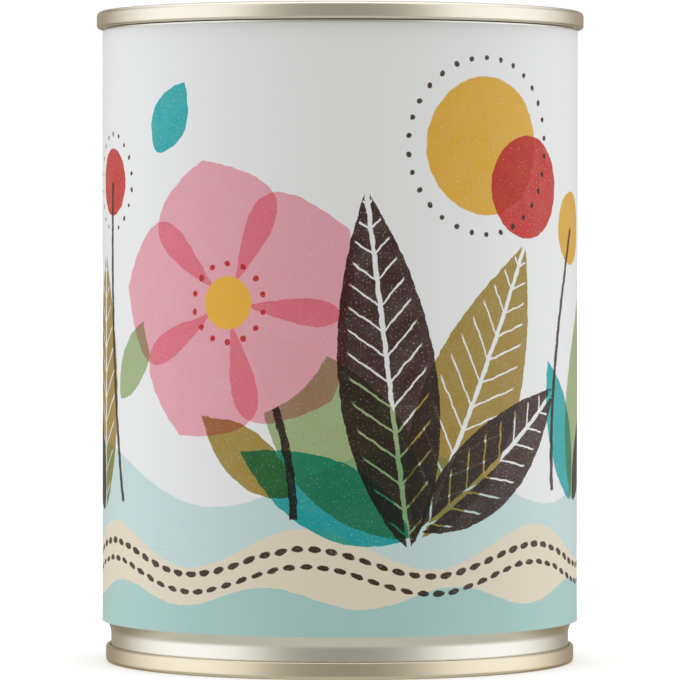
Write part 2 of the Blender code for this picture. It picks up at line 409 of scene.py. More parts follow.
def sheet_outline(path, thickness):
    """Both faces of a sheet, half its thickness to each side of its middle: back along the right
    side, then out along the left."""
    normals = left_normals(path)
    lift = normals * thickness / 2
    return np.vstack(((path - lift)[::-1], path + lift)), np.vstack((-normals[::-1], normals))


def angles_round(fine_at=None, fine_half_width=0.0):
    """Evenly spaced angles of a full turn, with more of them close to one place."""
    even = np.linspace(0, 2 * math.pi, AROUND, endpoint=False)
    if fine_at is None:
        return even
    fine = fine_at + np.linspace(-fine_half_width, fine_half_width, WELD_STEPS + 1)
    far = np.abs(np.angle(np.exp(1j * (even - fine_at)))) > fine_half_width * 1.05
    return np.sort(np.concatenate((even[far], fine % (2 * math.pi))))


def mesh_object(name, points, faces, look, sharp_angle=35):
    """A piece from its points and blocks of faces, shaded smooth except over edges sharper than
    sharp_angle degrees."""
    mesh = bpy.data.meshes.new(name)
    mesh.from_pydata(points.tolist(), [], [face.tolist() for block in faces for face in block])
    mesh.validate()
    mesh.shade_smooth()
    mesh.set_sharp_from_angle(angle=math.radians(sharp_angle))
    mesh.materials.append(look)
    piece = bpy.data.objects.new(name, mesh)
    bpy.context.scene.collection.objects.link(piece)
    return piece


def grid_faces(rows, columns, closed_rows=False, closed_columns=False):
    """Four-sided faces of a grid, where the point in row i and column j is i times columns + j."""
    i = np.arange(rows if closed_rows else rows - 1)[:, None]
    j = np.arange(columns if closed_columns else columns - 1)[None, :]
    up, on = (i + 1) % rows, (j + 1) % columns
    corners = (i * columns + j, up * columns + j, up * columns + on, i * columns + on)
    return np.stack(np.broadcast_arrays(*corners), -1).reshape(-1, 4)


def turned(name, outline, normals, look, angles, closed=True, relief=None):
    """A surface of revolution: outline point (r, z) at angle a is (r cos a, r sin a, z), moved by
    relief(r, z, a) along the outline's normal. An open outline starts and ends on the axis, where
    each end is one point."""
    ends_on_axis = not closed
    body = slice(1, -1) if ends_on_axis else slice(None)
    r, z = outline[body, :1], outline[body, 1:]
    lift = relief(r, z, angles[None, :]) if relief else np.zeros((len(r), len(angles)))
    radius = r + normals[body, :1] * lift
    height = z + normals[body, 1:] * lift
    points = np.stack((radius * np.cos(angles), radius * np.sin(angles), height), -1).reshape(-1, 3)
    rows, columns = len(r), len(angles)
    faces = [grid_faces(rows, columns, closed_rows=closed, closed_columns=True)]
    if ends_on_axis:
        first, last = rows * columns, rows * columns + 1
        points = np.vstack((points, (0.0, 0.0, outline[0, 1]), (0.0, 0.0, outline[-1, 1])))
        j = np.arange(columns)
        on = (j + 1) % columns
        top_row = (rows - 1) * columns
        faces.append(np.column_stack((np.full(columns, first), j, on)))
        faces.append(np.column_stack((top_row + j, np.full(columns, last), top_row + on)))
    return mesh_object(name, points, faces, look)


def seam_layers(sizes, seam_radius):
    """Radius of the middle of each layer of a double seam, from the outside inwards."""
    radii, outside = {}, seam_radius
    for layer, sheet in (
        ("cover", sizes.end_sheet),
        ("body_hook", sizes.body_sheet),
        ("end_hook", sizes.end_sheet),
        ("body", sizes.body_sheet),
        ("chuck", sizes.end_sheet),
    ):
        radii[layer] = outside - sheet / 2
        outside -= sheet + LAYER_GAP
    return radii


def body_hook(sizes, seam_radius):
    """Middle of the body's flange in a seam: a straight tip, then half a circle over to the wall.
    z is from the crown."""
    layers = seam_layers(sizes, seam_radius)
    bend = (layers["body_hook"] - layers["body"]) / 2
    centre = (layers["body"] + bend, -CROWN_TO_BODY_BEND - sizes.end_sheet / 2)
    tip = (layers["body_hook"], centre[1] - HOOK_LENGTH)
    return chain(run(tip, (tip[0], centre[1]), 2), arc(centre, bend, 0, 180, BEND_STEPS))


def panel_level(r, rim_level):
    """Height of the panel at radius r: its rim's, less a smooth step to the depth of each ring
    inside that ring's edge."""
    level = np.full_like(r, rim_level)
    depth = 0.0
    for edge, drop in PANEL_RINGS:
        level -= (drop - depth) * smooth(-r, -edge, -edge + RING_STEP_WIDTH)
        depth = drop
    return level


def end_path(sizes, seam_radius, seam_height, shoulder):
    """Middle of a pressed end, from its hook's tip over the crown to the panel's centre: arcs
    joined by straight walls, then the panel's level over the radius. z is from the crown."""
    layers = seam_layers(sizes, seam_radius)
    half = sizes.end_sheet / 2
    fold = layers["cover"] - SEAM_FOOT_RADIUS - layers["end_hook"]
    foot = -seam_height + half
    tip = (layers["end_hook"], -CROWN_TO_BODY_BEND - half - END_HOOK_CLEARANCE)
    corner = (layers["cover"] - SEAM_FOOT_RADIUS, foot + SEAM_FOOT_RADIUS)
    inner = layers["cover"] - shoulder - SEAM_CROWN_FLAT - layers["chuck"]
    groove_r = layers["chuck"] - CHUCK_WALL_TAPER - COUNTERSINK_RADIUS
    groove = (groove_r, -COUNTERSINK_DEPTH + COUNTERSINK_RADIUS)
    rim_level = -PANEL_DEPTH - half
    edge = groove_r - COUNTERSINK_RADIUS - PANEL_EDGE_RADIUS
    panel_r = np.linspace(edge, 0.0, PANEL_POINTS)
    return chain(
        run(tip, (tip[0], foot + fold), 2),
        arc((tip[0] + fold, foot + fold), fold, 180, 270, FOLD_STEPS),
        arc(corner, SEAM_FOOT_RADIUS, 270, 360, CORNER_STEPS),
        run((layers["cover"], corner[1]), (layers["cover"], -half - shoulder), CORNER_STEPS),
        arc((layers["cover"] - shoulder, -half - shoulder), shoulder, 0, 90, SHOULDER_STEPS),
        arc((layers["chuck"] + inner, -half - inner), inner, 90, 180, CORNER_STEPS),
        arc(groove, COUNTERSINK_RADIUS, 360, 180, BEND_STEPS),
        arc((edge, rim_level - PANEL_EDGE_RADIUS), PANEL_EDGE_RADIUS, 0, 90, FOLD_STEPS),
        np.column_stack((panel_r, panel_level(panel_r, rim_level))),
    )


def neck_path(sizes):
    """Middle of the necked-in foot: two equal arcs that make an S, tangent to the wall above and
    to the neck below."""
    wall = sizes.bore_radius + sizes.body_sheet / 2
    throat = seam_layers(sizes, sizes.foot_seam_radius)["body"]
    drop, inset = NECK_TOP - NECK_FOOT, wall - throat
    radius = (drop**2 + inset**2) / (4 * inset)
    turn = math.degrees(math.asin(drop / 2 / radius))
    return chain(
        arc((wall - radius, NECK_TOP), radius, 0, -turn, BEND_STEPS),
        arc((throat + radius, NECK_FOOT), radius, 180 - turn, 180, BEND_STEPS),
    )


def back_bump(r, angles, half_width):
    """A bell over the side weld's angle: e to minus the square of the distance along the arc,
    divided by half_width."""
    away = r * np.angle(np.exp(1j * (angles - WELD_ANGLE)))
    return np.exp(-((away / half_width) ** 2))


def finish_piece(piece, node):
    """The piece stands for a solid of the frame, moves with it and hides it."""
    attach(piece, "root")
    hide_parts(node)


class Wire:
    """A socket of a node tree. Arithmetic on it adds Math nodes."""

    def __init__(self, bench, socket):
        self.bench = bench
        self.socket = socket

    def math(self, operation, *values):
        inputs = dict(enumerate((self, *values)))
        return self.bench.add("ShaderNodeMath", {"operation": operation}, inputs)

    def __add__(self, other):
        return self.math("ADD", other)

    def __sub__(self, other):
        return self.math("SUBTRACT", other)

    def __mul__(self, other):
        return self.math("MULTIPLY", other)

    __radd__ = __add__
    __rmul__ = __mul__

    def __truediv__(self, other):
        return self.math("DIVIDE", other)

    def __pow__(self, other):
        return self.math("POWER", other)

    def __neg__(self):
        return self.math("MULTIPLY", -1.0)

    def __abs__(self):
        return self.math("ABSOLUTE")

    def __rsub__(self, other):
        return self.bench.add("ShaderNodeMath", {"operation": "SUBTRACT"}, {0: other, 1: self})

    def __rtruediv__(self, other):
        return self.bench.add("ShaderNodeMath", {"operation": "DIVIDE"}, {0: other, 1: self})

    def over(self, low, high):
        """0 up to low, 1 from high on, a straight ramp between."""
        sockets = {"Value": self, "From Min": low, "From Max": high}
        return self.bench.add("ShaderNodeMapRange", {"clamp": True}, sockets)


class Bench:
    """A node tree under work."""

    def __init__(self, tree):
        self.tree = tree

    def plug(self, socket, value):
        if isinstance(value, Wire):
            self.tree.links.new(value.socket, socket)
        elif socket.type == "RGBA" and len(value) == 3:
            socket.default_value = (*value, 1.0)
        else:
            socket.default_value = value

    def add(self, kind, settings=None, sockets=None, output=0):
        """A node of a kind: its settings first, a ramp's stops among them, then the values or
        links of its sockets."""
        node = self.tree.nodes.new(kind)
        for key, value in (settings or {}).items():
            if key == "stops":
                elements = node.color_ramp.elements
                while len(elements) < len(value):
                    elements.new(1.0)
                for element, (position, colour) in zip(elements, value):
                    element.position = position
                    element.color = (*colour, 1.0)
            else:
                setattr(node, key, value)
        for key, value in (sockets or {}).items():
            self.plug(node.inputs[key], value)
        return Wire(self, node.outputs[output])

    def mixed(self, blend, factor, first, second):
        """Two colours mixed in a blend mode."""
        settings = {"data_type": "RGBA", "blend_type": blend, "clamp_factor": True}
        return self.add("ShaderNodeMix", settings, {0: factor, 6: first, 7: second}, output=2)

    def vector(self, x, y, z):
        return self.add("ShaderNodeCombineXYZ", None, {0: x, 1: y, 2: z})

    def split(self, vector):
        """The x, y and z of a vector."""
        node = self.add("ShaderNodeSeparateXYZ", None, {0: vector}).socket.node
        return [Wire(self, socket) for socket in node.outputs]

    def grey(self, level):
        """A level as a colour with equal parts."""
        return self.add("ShaderNodeCombineColor", None, {0: level, 1: level, 2: level})

    def noise(self, vector, scale, detail=2.0, roughness=0.5):
        sockets = {"Vector": vector, "Scale": scale, "Detail": detail, "Roughness": roughness}
        return self.add("ShaderNodeTexNoise", None, sockets)


class Finish(Bench):
    """A material with one Principled shader."""

    def __init__(self, name, **constants):
        self.material = bpy.data.materials.new(name)
        self.material.use_nodes = True
        super().__init__(self.material.node_tree)
        self.shader = self.tree.nodes["Principled BSDF"]
        for key, value in constants.items():
            self.set(key.replace("_", " "), value)

    def set(self, name, value):
        self.plug(self.shader.inputs[name], value)

    def place(self):
        """Object coordinates, as a vector and split into x, y and z."""
        vector = self.add("ShaderNodeTexCoord", None, None, output=3)
        return vector, *self.split(vector)

    def bump(self, height, distance, strength=1.0):
        sockets = {"Height": height, "Distance": distance, "Strength": strength}
        self.set("Normal", self.add("ShaderNodeBump", None, sockets))


def metal_finish(name, colour, roughness, rolled_across=False):
    """Satin tinplate with faint clouding and fine lines in roughness and bump. Forming leaves the
    lines round the axis. A sheet rolled_across keeps its straight rolling lines on the panel."""
    metal = Finish(name, Metallic=1.0)
    place, x, y, z = metal.place()
    lines = metal.noise(metal.vector(x * 40.0, y * 40.0, z * 9000.0), 1.0, 3.0, 0.6)
    if rolled_across:
        radius = (x**2.0 + y**2.0).math("SQRT")
        straight = metal.noise(metal.vector(x * 45.0, y * 5200.0, z * 45.0), 1.0, 3.0, 0.6)
        on_panel = 1.0 - radius.over(*PANEL_LINES_END)
        lines = lines + (straight - lines) * on_panel
    cloud = metal.noise(place, 70.0, 3.0)
    mottle = metal.noise(place, 1400.0, 2.0)
    shade = cloud.over(0.25, 0.75) * 0.04 + lines.over(0.2, 0.8) * 0.04
    metal.ground = metal.mixed("MULTIPLY", 1.0, colour, metal.grey(1.0 - shade))
    metal.set("Base Color", metal.ground)
    metal.set("Roughness", roughness + lines.over(0.2, 0.8) * 0.06 + cloud.over(0.3, 0.7) * 0.04)
    metal.bump(lines * 0.7 + mottle * 0.3, 0.0000015, 0.6)
    return metal


def body_finish(colours):
    """Tinplate with the side weld up the back: a scaly grey line, tinted by heat beside it."""
    metal = metal_finish("tinplate", colours.tinplate, BODY_ROUGHNESS)
    place, x, y, z = metal.place()
    across = abs(x + (metal.noise(place, 900.0, 2.0) - 0.5) * WELD_WOBBLE)
    behind = y.over(0.0, 0.01)
    tint = (1.0 - across.over(WELD_HALF_WIDTH, WELD_HEAT_REACH)) * behind
    warmed = metal.mixed("MULTIPLY", tint * WELD_HEAT, metal.ground, colours.weld_heat)
    line = (1.0 - across.over(0.8 * WELD_HALF_WIDTH, WELD_HALF_WIDTH)) * behind
    scale = 0.85 + metal.noise(metal.vector(x * 300.0, 0.0, z * 2600.0), 1.0, 2.0) * 0.3
    weld = metal.mixed("MULTIPLY", 1.0, colours.weld, metal.grey(scale))
    metal.set("Base Color", metal.mixed("MIX", line, warmed, weld))
    return metal.material


class FOODCAN_OT_body(Operator):
    """Add the can's body: the welded tube with its necked-in foot and the hooks of both seams"""

    bl_idname = "foodcan.body"
    bl_label = "Can body"

    def execute(self, context):
        sizes, colours = context.scene.food_can_sizes, context.scene.food_can_colours
        wall = sizes.bore_radius + sizes.body_sheet / 2
        top = body_hook(sizes, sizes.top_seam_radius) + (0.0, sizes.can_height)
        foot = (body_hook(sizes, sizes.foot_seam_radius) * (1, -1))[::-1]
        flare_foot = sizes.can_height - TOP_SEAM_HEIGHT + sizes.end_sheet - FLARE_HEIGHT
        flare_z = np.linspace(flare_foot + FLARE_HEIGHT, flare_foot, 9)
        flare = smooth(flare_z, flare_foot, flare_foot + FLARE_HEIGHT)
        flare_r = wall + (top[-1, 0] - wall) * flare
        path = chain(
            top,
            run(top[-1], (top[-1, 0], flare_z[0]), 3),
            np.column_stack((flare_r, flare_z)),
            run((wall, flare_foot), (wall, NECK_TOP), WALL_STEPS),
            neck_path(sizes),
            run((foot[0, 0], NECK_FOOT), foot[0], 3),
            foot,
        )
        outline, normals = sheet_outline(path, sizes.body_sheet)
        seam_top = sizes.can_height - TOP_SEAM_HEIGHT

        def weld(r, z, angles):
            """A low bell over the side weld, fading out where the wall enters a seam."""
            shown = smooth(z, BASE_SEAM_HEIGHT, BASE_SEAM_HEIGHT + WELD_FADE)
            shown = shown * smooth(-z, -seam_top, -seam_top + WELD_FADE)
            return WELD_HEIGHT * shown * back_bump(r, angles, WELD_HALF_WIDTH)

        angles = angles_round(WELD_ANGLE, WELD_FINE_ANGLE)
        piece = turned("body", outline, normals, body_finish(colours), angles, relief=weld)
        finish_piece(piece, "can_body")
        return {"FINISHED"}


class FOODCAN_OT_ends(Operator):
    """Add both pressed ends, with their seams, countersinks and ringed panels"""

    bl_idname = "foodcan.ends"
    bl_label = "Ends"

    def execute(self, context):
        sizes, colours = context.scene.food_can_sizes, context.scene.food_can_colours

        def add_end(name, node, lacquer, colour, seam_radius, seam_height, shoulder, base, up):
            look = metal_finish(lacquer, colour, END_ROUGHNESS, rolled_across=True).material
            path = end_path(sizes, seam_radius, seam_height, shoulder) * (1, up) + (0, base)
            outline, normals = sheet_outline(path, sizes.end_sheet)
            cover = seam_radius - sizes.end_sheet - LAYER_GAP / 2

            def juncture(r, z, angles):
                """A low bell on the seam's outer wall, where it folds over the body's side weld."""
                bell = back_bump(r, angles, SEAM_JUNCTURE_HALF_WIDTH)
                return SEAM_JUNCTURE_HEIGHT * (r > cover) * bell

            angles = angles_round(WELD_ANGLE, SEAM_JUNCTURE_FINE_ANGLE)
            piece = turned(name, outline, normals, look, angles, closed=False, relief=juncture)
            finish_piece(piece, node)

        top = (sizes.top_seam_radius, TOP_SEAM_HEIGHT, TOP_SEAM_SHOULDER, sizes.can_height, 1)
        foot = (sizes.foot_seam_radius, BASE_SEAM_HEIGHT, BASE_SEAM_SHOULDER, 0.0, -1)
        add_end("end_top", "top_end", "top_lacquer", colours.top_metal, *top)
        add_end("end_foot", "bottom_end", "foot_lacquer", colours.foot_metal, *foot)
        return {"FINISHED"}


class LabelPrint(Finish):
    """The label's print. Its design fills half a turn and comes twice. x and z are mm across from
    the middle of the design and up from the label's foot, shaken a little so that no edge is
    quite true."""

    def __init__(self, name, sizes, colours):
        super().__init__(name, Specular_IOR_Level=0.35)
        self.colours = colours
        self.ground = colours.paper
        self.ink_density = 1.0
        strip = self.add("ShaderNodeUVMap", {"uv_map": "Print"})
        along, up, _ = self.split(strip)
        self.sheet_at = self.vector(along * 1000.0, up * 1000.0, 0.0)
        self.half_width = 500.0 * math.pi * sizes.label_radius
        front = 1000.0 * sizes.label_radius * (FRONT_ANGLE - LAP_START_ANGLE)
        x = (along * 1000.0 - front).math("WRAP", self.half_width, -self.half_width)
        sockets = {"Vector": self.sheet_at, "Scale": 0.55, "Detail": 3.0}
        unevenness = self.add("ShaderNodeTexNoise", None, sockets, output=1)
        shake = self.between("SUBTRACT", unevenness, (0.5, 0.5, 0.5))
        true = self.vector(x, up * 1000.0, 0.0)
        self.at = self.between("MULTIPLY_ADD", shake, (PRINT_SHAKE,) * 3, true)
        self.x, self.z, _ = self.split(self.at)

    def between(self, operation, *vectors, output=0):
        """A Vector Math node."""
        inputs = dict(enumerate(vectors))
        return self.add("ShaderNodeVectorMath", {"operation": operation}, inputs, output)

    def leaf(self, root, angle, length, width, belly=0.8, veins=False):
        """A leaf from its root. Its edge is at width / 2 times s to the belly times (1 - s), s the
        share of the way to the tip, scaled to reach 1. Veins are left out of the ink."""
        sockets = {
            "Vector": self.at,
            "Location": (*root, 0.0),
            "Rotation": (0.0, 0.0, math.radians(angle)),
            "Scale": (length, width / 2, 1.0),
        }
        own = self.add("ShaderNodeMapping", {"vector_type": "TEXTURE"}, sockets)
        share, across, _ = self.split(own)
        share = share.math("MAXIMUM", 0.0).math("MINIMUM", 1.0)
        across = abs(across)
        widest = (belly / (1 + belly)) ** belly / (1 + belly)
        edge = share**belly * (1.0 - share) / widest
        mask = (edge - across).over(0.0, PRINT_EDGE / width)
        if veins:
            rib = (across * width).over(*MIDRIB)
            side = abs((share * length - across * width * VEIN_SLANT) / VEIN_STEP).math("FRACT")
            side = abs(side - 0.5).over(*VEIN_SHARE)
            side = side.math("MAXIMUM", (across / edge).over(*VEIN_REACH))
            mask = mask * rib * side
        return mask

    def disc(self, centre, radius):
        """A round dot."""
        away = self.between("DISTANCE", self.at, (*centre, 0.0), output=1)
        return (radius - away).over(0.0, PRINT_EDGE)

    def dot_ring(self, centre, radius, count, dot):
        """Dots round a circle: one in the middle of each of count equal sectors."""
        x, z = self.x - centre[0], self.z - centre[1]
        out = (x * x + z * z).math("SQRT") - radius
        sector = 2 * math.pi / count
        along = ((z.math("ARCTAN2", x) / sector + count).math("FRACT") - 0.5) * (sector * radius)
        return (dot - (along * along + out * out).math("SQRT")).over(0.0, PRINT_EDGE)

    def stem(self, foot, head, bow, half):
        """A line from foot to head, bowed aside by bow times 4 s (1 - s), s the share of the
        height climbed."""
        share = (self.z - foot[1]) / (head[1] - foot[1])
        share = share.math("MAXIMUM", 0.0).math("MINIMUM", 1.0)
        middle = share * (head[0] - foot[0]) + foot[0] + share * (1.0 - share) * (4.0 * bow)
        within = (share * (1.0 - share)).over(0.0, STEM_END)
        return (half - abs(self.x - middle)).over(0.0, PRINT_EDGE) * within

    def swing(self, count, phase):
        """The sine of count turns over the design's width."""
        return (self.x * (math.pi * count / self.half_width) + phase).math("SINE")

    def wave(self, level, swell, count, phase):
        """All below level + swell sin(count turns of x over the design's width + phase)."""
        return (self.swing(count, phase) * swell + level - self.z).over(0.0, PRINT_EDGE)

    def seeds(self, level, start, half_height, count, phase):
        """A row of ovals in equal steps of x, which rides on a wave's swing."""
        step = 2 * self.half_width / SEEDS_ROUND
        across = (((self.x + start) / step).math("FRACT") - 0.5) * (step / SEED_HALF_LENGTH)
        drop = (self.z - self.swing(count, phase) * SEED_SWELL - level) / half_height
        return (1.0 - (across * across + drop * drop)).over(0.0, SEED_EDGE)

    def crease(self, middle, reach, half_width):
        """A faint level fold: 1 along its line, 0 at half_width above and below and at its ends."""
        along = 1.0 - abs(self.x - middle[0]) / reach
        across = 1.0 - abs(self.z - middle[1]) / half_width
        return across.math("MAXIMUM", 0.0) * along.over(0.0, CREASE_FADE)

    def ink(self, mask, name, covers=False):
        """One pass of an ink, thinner where it fails, see-through or covering what is below."""
        blend, colour = "MIX" if covers else "MULTIPLY", getattr(self.colours, name)
        self.ground = self.mixed(blend, mask * self.ink_density, self.ground, colour)


def label_finish(colours, sizes):
    """Semi-gloss paper with waves, seeds, stems, leaves, a flower and discs in mottled inks."""
    paper = LabelPrint("label_paper", sizes, colours)
    speck = paper.noise(paper.sheet_at, 2.6, 2.0, 0.6).over(0.60, 0.70)
    cloud = paper.noise(paper.sheet_at, 0.22, 4.0, 0.65).over(0.35, 0.70)
    paper.ink_density = 1.0 - speck * INK_SPECKS - cloud * INK_CLOUDS

    for *wave, colour in WAVES:
        paper.ink(paper.wave(*wave), colour, covers=colour != "pale_blue")
    for row in SEED_ROWS:
        paper.ink(paper.seeds(*row, *WAVES[1][2:4]), "brown")
    for stem in STEMS:
        paper.ink(paper.stem(*stem), "brown")
    for *leaf, colour, veins in LEAVES:
        paper.ink(paper.leaf(*leaf, veins=veins), colour)
    paper.ink(paper.disc(FLOWER, FLOWER_GROUND_SHARE * PETAL_LENGTH), "paper", covers=True)
    for number in range(PETALS):
        angle = 90 + 360 * number / PETALS + PETAL_TURN
        petal = paper.leaf(FLOWER, angle, PETAL_LENGTH, PETAL_WIDTH, belly=PETAL_BELLY)
        paper.ink(petal, "pink")
    paper.ink(paper.disc(FLOWER, FLOWER_EYE), "ochre", covers=True)
    for *disc, colour in DISCS:
        paper.ink(paper.disc(*disc), colour)
    for *ring, colour in DOT_RINGS:
        paper.ink(paper.dot_ring(*ring), colour)

    fibre = paper.noise(paper.sheet_at, 3.2, 3.0)
    paper.set("Base Color", paper.ground)
    paper.set("Roughness", 0.36 + fibre * 0.10)
    height = fibre * 0.1
    for crease in CREASES:
        height = height - paper.crease(*crease)
    paper.bump(height, 0.0001, 0.5)
    return paper.material


class FOODCAN_OT_label(Operator):
    """Add the paper label, wrapped once round the body and lapped at the back"""

    bl_idname = "foodcan.label"
    bl_label = "Paper label"

    def execute(self, context):
        sizes, colours = context.scene.food_can_sizes, context.scene.food_can_colours
        turn = np.linspace(0.0, 2 * math.pi + LAP_SPAN, LABEL_STEPS_ALONG)[None, :]
        height = sizes.label_head - sizes.label_foot
        share = np.linspace(0.0, 1.0, LABEL_STEPS_UP)
        up = (height * (share - LABEL_ROW_CROWDING * np.sin(2 * math.pi * share)))[:, None]
        radius = self.radius(sizes, turn, up)
        angle = LAP_START_ANGLE + turn
        z = np.broadcast_to(sizes.label_foot + up, radius.shape)
        outer, inner = (
            np.stack((skin * np.cos(angle), skin * np.sin(angle), z), -1)
            for skin in (radius, radius - sizes.label_paper)
        )
        points = np.concatenate((outer, inner[::-1])).reshape(-1, 3)
        rows, columns = 2 * LABEL_STEPS_UP, LABEL_STEPS_ALONG
        faces = grid_faces(rows, columns, closed_rows=True)[:, ::-1]
        i = np.arange(LABEL_STEPS_UP - 1)
        start = np.column_stack((i, i + 1, rows - 2 - i, rows - 1 - i)) * columns
        end = start[:, ::-1] + columns - 1
        piece = mesh_object("label", points, [faces, start, end], label_finish(colours, sizes))
        along = np.broadcast_to(turn * sizes.label_radius, radius.shape)
        across = np.broadcast_to(up, radius.shape)
        places = [np.concatenate((sheet, sheet[::-1])) for sheet in (along, across)]
        layer = piece.data.uv_layers.new(name="Print")
        corners = np.empty(len(piece.data.loops), dtype=np.int32)
        piece.data.loops.foreach_get("vertex_index", corners)
        places = np.stack(places, -1).reshape(-1, 2)[corners].astype(np.float32)
        layer.uv.foreach_set("vector", places.ravel())
        finish_piece(piece, "paper_label")
        return {"FINISHED"}

    @staticmethod
    def radius(sizes, turn, up):
        """Outside radius along and up the strip: a true circle, one thickness of paper further out
        on the lap, plus slow waves, a product of two sines, and a flutter of the lower edge, a
        sum of two."""
        lift = (sizes.label_paper + LAP_GAP) * smooth(turn, 2 * math.pi - LAP_RAMP, 2 * math.pi)
        waves = PAPER_WAVE * np.sin(5 * turn + 1.0 + up * 30) * np.sin(up * 90 + 2 * turn)
        edge = np.exp(-up / PAPER_FLUTTER_REACH)
        ripples = np.sin(7 * turn + 0.4) + 0.6 * np.sin(17 * turn + 2.0)
        flutter = PAPER_FLUTTER * edge * ripples
        return sizes.label_radius + lift + waves + flutter


class FOODCAN_OT_sealing_rings(Operator):
    """Add the ring of sealing compound in the crown of each seam"""

    bl_idname = "foodcan.sealing_rings"
    bl_label = "Sealing rings"

    def execute(self, context):
        sizes, colours = context.scene.food_can_sizes, context.scene.food_can_colours
        rubber = Finish("sealing_compound", Roughness=0.75)
        speckle = rubber.noise(rubber.place()[0], 3000.0, 2.0)
        tone = rubber.grey(0.92 + speckle * 0.12)
        rubber.set("Base Color", rubber.mixed("MULTIPLY", 1.0, colours.compound, tone))
        round_section = np.linspace(0, -2 * math.pi, COMPOUND_STEPS, endpoint=False)
        for name, node, seam_radius, base, up in (
            ("compound_top", "top_sealing_ring", sizes.top_seam_radius, sizes.can_height, 1),
            ("compound_foot", "bottom_sealing_ring", sizes.foot_seam_radius, 0.0, -1),
        ):
            layers = seam_layers(sizes, seam_radius)
            middle = (layers["body_hook"] + layers["body"]) / 2 - COMPOUND_INSIDE_BEND
            normals = np.column_stack((np.cos(round_section), np.sin(round_section)))
            centre = (middle, base - up * COMPOUND_BELOW_CROWN)
            outline = normals * (COMPOUND_WIDTH / 2, COMPOUND_HEIGHT / 2) + centre
            piece = turned(name, outline, normals, rubber.material, angles_round())
            finish_piece(piece, node)
        return {"FINISHED"}


def fruit_finish(colours):
    """Moist flesh with fibres that run outwards from the core, paler than their furrows."""
    flesh = Finish("fruit_flesh", Coat_Weight=0.3, Coat_Roughness=0.2)
    place, x, y, z = flesh.place()
    out = (x**2.0 + y**2.0).math("SQRT")
    across = flesh.vector(x / out * 30.0, y / out * 30.0, z * 900.0 + out * 80.0)
    fibres = flesh.noise(across, 1.0, 4.0, 0.6)
    cloud = flesh.noise(place, 120.0, 3.0)
    tone = 0.72 + fibres.over(0.3, 0.7) * 0.28 + cloud * 0.12
    flesh.set("Base Color", flesh.mixed("MULTIPLY", 1.0, colours.flesh, flesh.grey(tone)))
    flesh.set("Roughness", 0.50 - fibres * 0.20)
    flesh.bump(fibres, 0.0002, 0.7)
    return flesh.material


def fruit_piece(node, look):
    """A wedge of fruit: its solid's faces rounded by Catmull-Clark subdivision, then drawn in along
    the normals by FRUIT_GROOVE times (1 + sin(2 pi z / pitch + sway sin(lobes a) + lean r)) / 2,
    where r is the distance from the can's axis and a the angle about it."""
    mesh = frame["nodes"][node].data.copy()
    shape = bmesh.new()
    shape.from_mesh(mesh)
    bmesh.ops.remove_doubles(shape, verts=shape.verts, dist=SAME_POINT)
    shape.to_mesh(mesh)
    shape.free()
    piece = bpy.data.objects.new(node.replace("jackfruit_piece", "fruit"), mesh)
    bpy.context.scene.collection.objects.link(piece)
    rounding = piece.modifiers.new("rounding", "SUBSURF")
    rounding.levels = rounding.render_levels = FRUIT_ROUNDS
    solved = bpy.context.evaluated_depsgraph_get()
    rounded = bpy.data.meshes.new_from_object(piece.evaluated_get(solved))
    piece.modifiers.remove(rounding)
    piece.data = rounded

    points, normals = np.empty((2, 3 * len(rounded.vertices)), dtype=np.float32)
    rounded.vertices.foreach_get("co", points)
    rounded.vertex_normals.foreach_get("vector", normals)
    x, y, z = points.reshape(-1, 3).T
    sway = FRUIT_GROOVE_SWAY * np.sin(FRUIT_GROOVE_LOBES * np.arctan2(y, x))
    swing = 2 * math.pi * z / FRUIT_GROOVE_PITCH + sway + FRUIT_GROOVE_LEAN * np.hypot(x, y)
    depth = FRUIT_GROOVE * (1 + np.sin(swing)) / 2
    rounded.vertices.foreach_set("co", points - normals * np.repeat(depth, 3))
    rounded.shade_smooth()
    rounded.materials.clear()
    rounded.materials.append(look)
    return piece


class FOODCAN_OT_fruit(Operator):
    """Add the wedges of fruit packed in the can"""

    bl_idname = "foodcan.fruit"
    bl_label = "Fruit"

    def execute(self, context):
        look = fruit_finish(context.scene.food_can_colours)
        for node in FRUIT_NODES:
            finish_piece(fruit_piece(node, look), node)
        return {"FINISHED"}


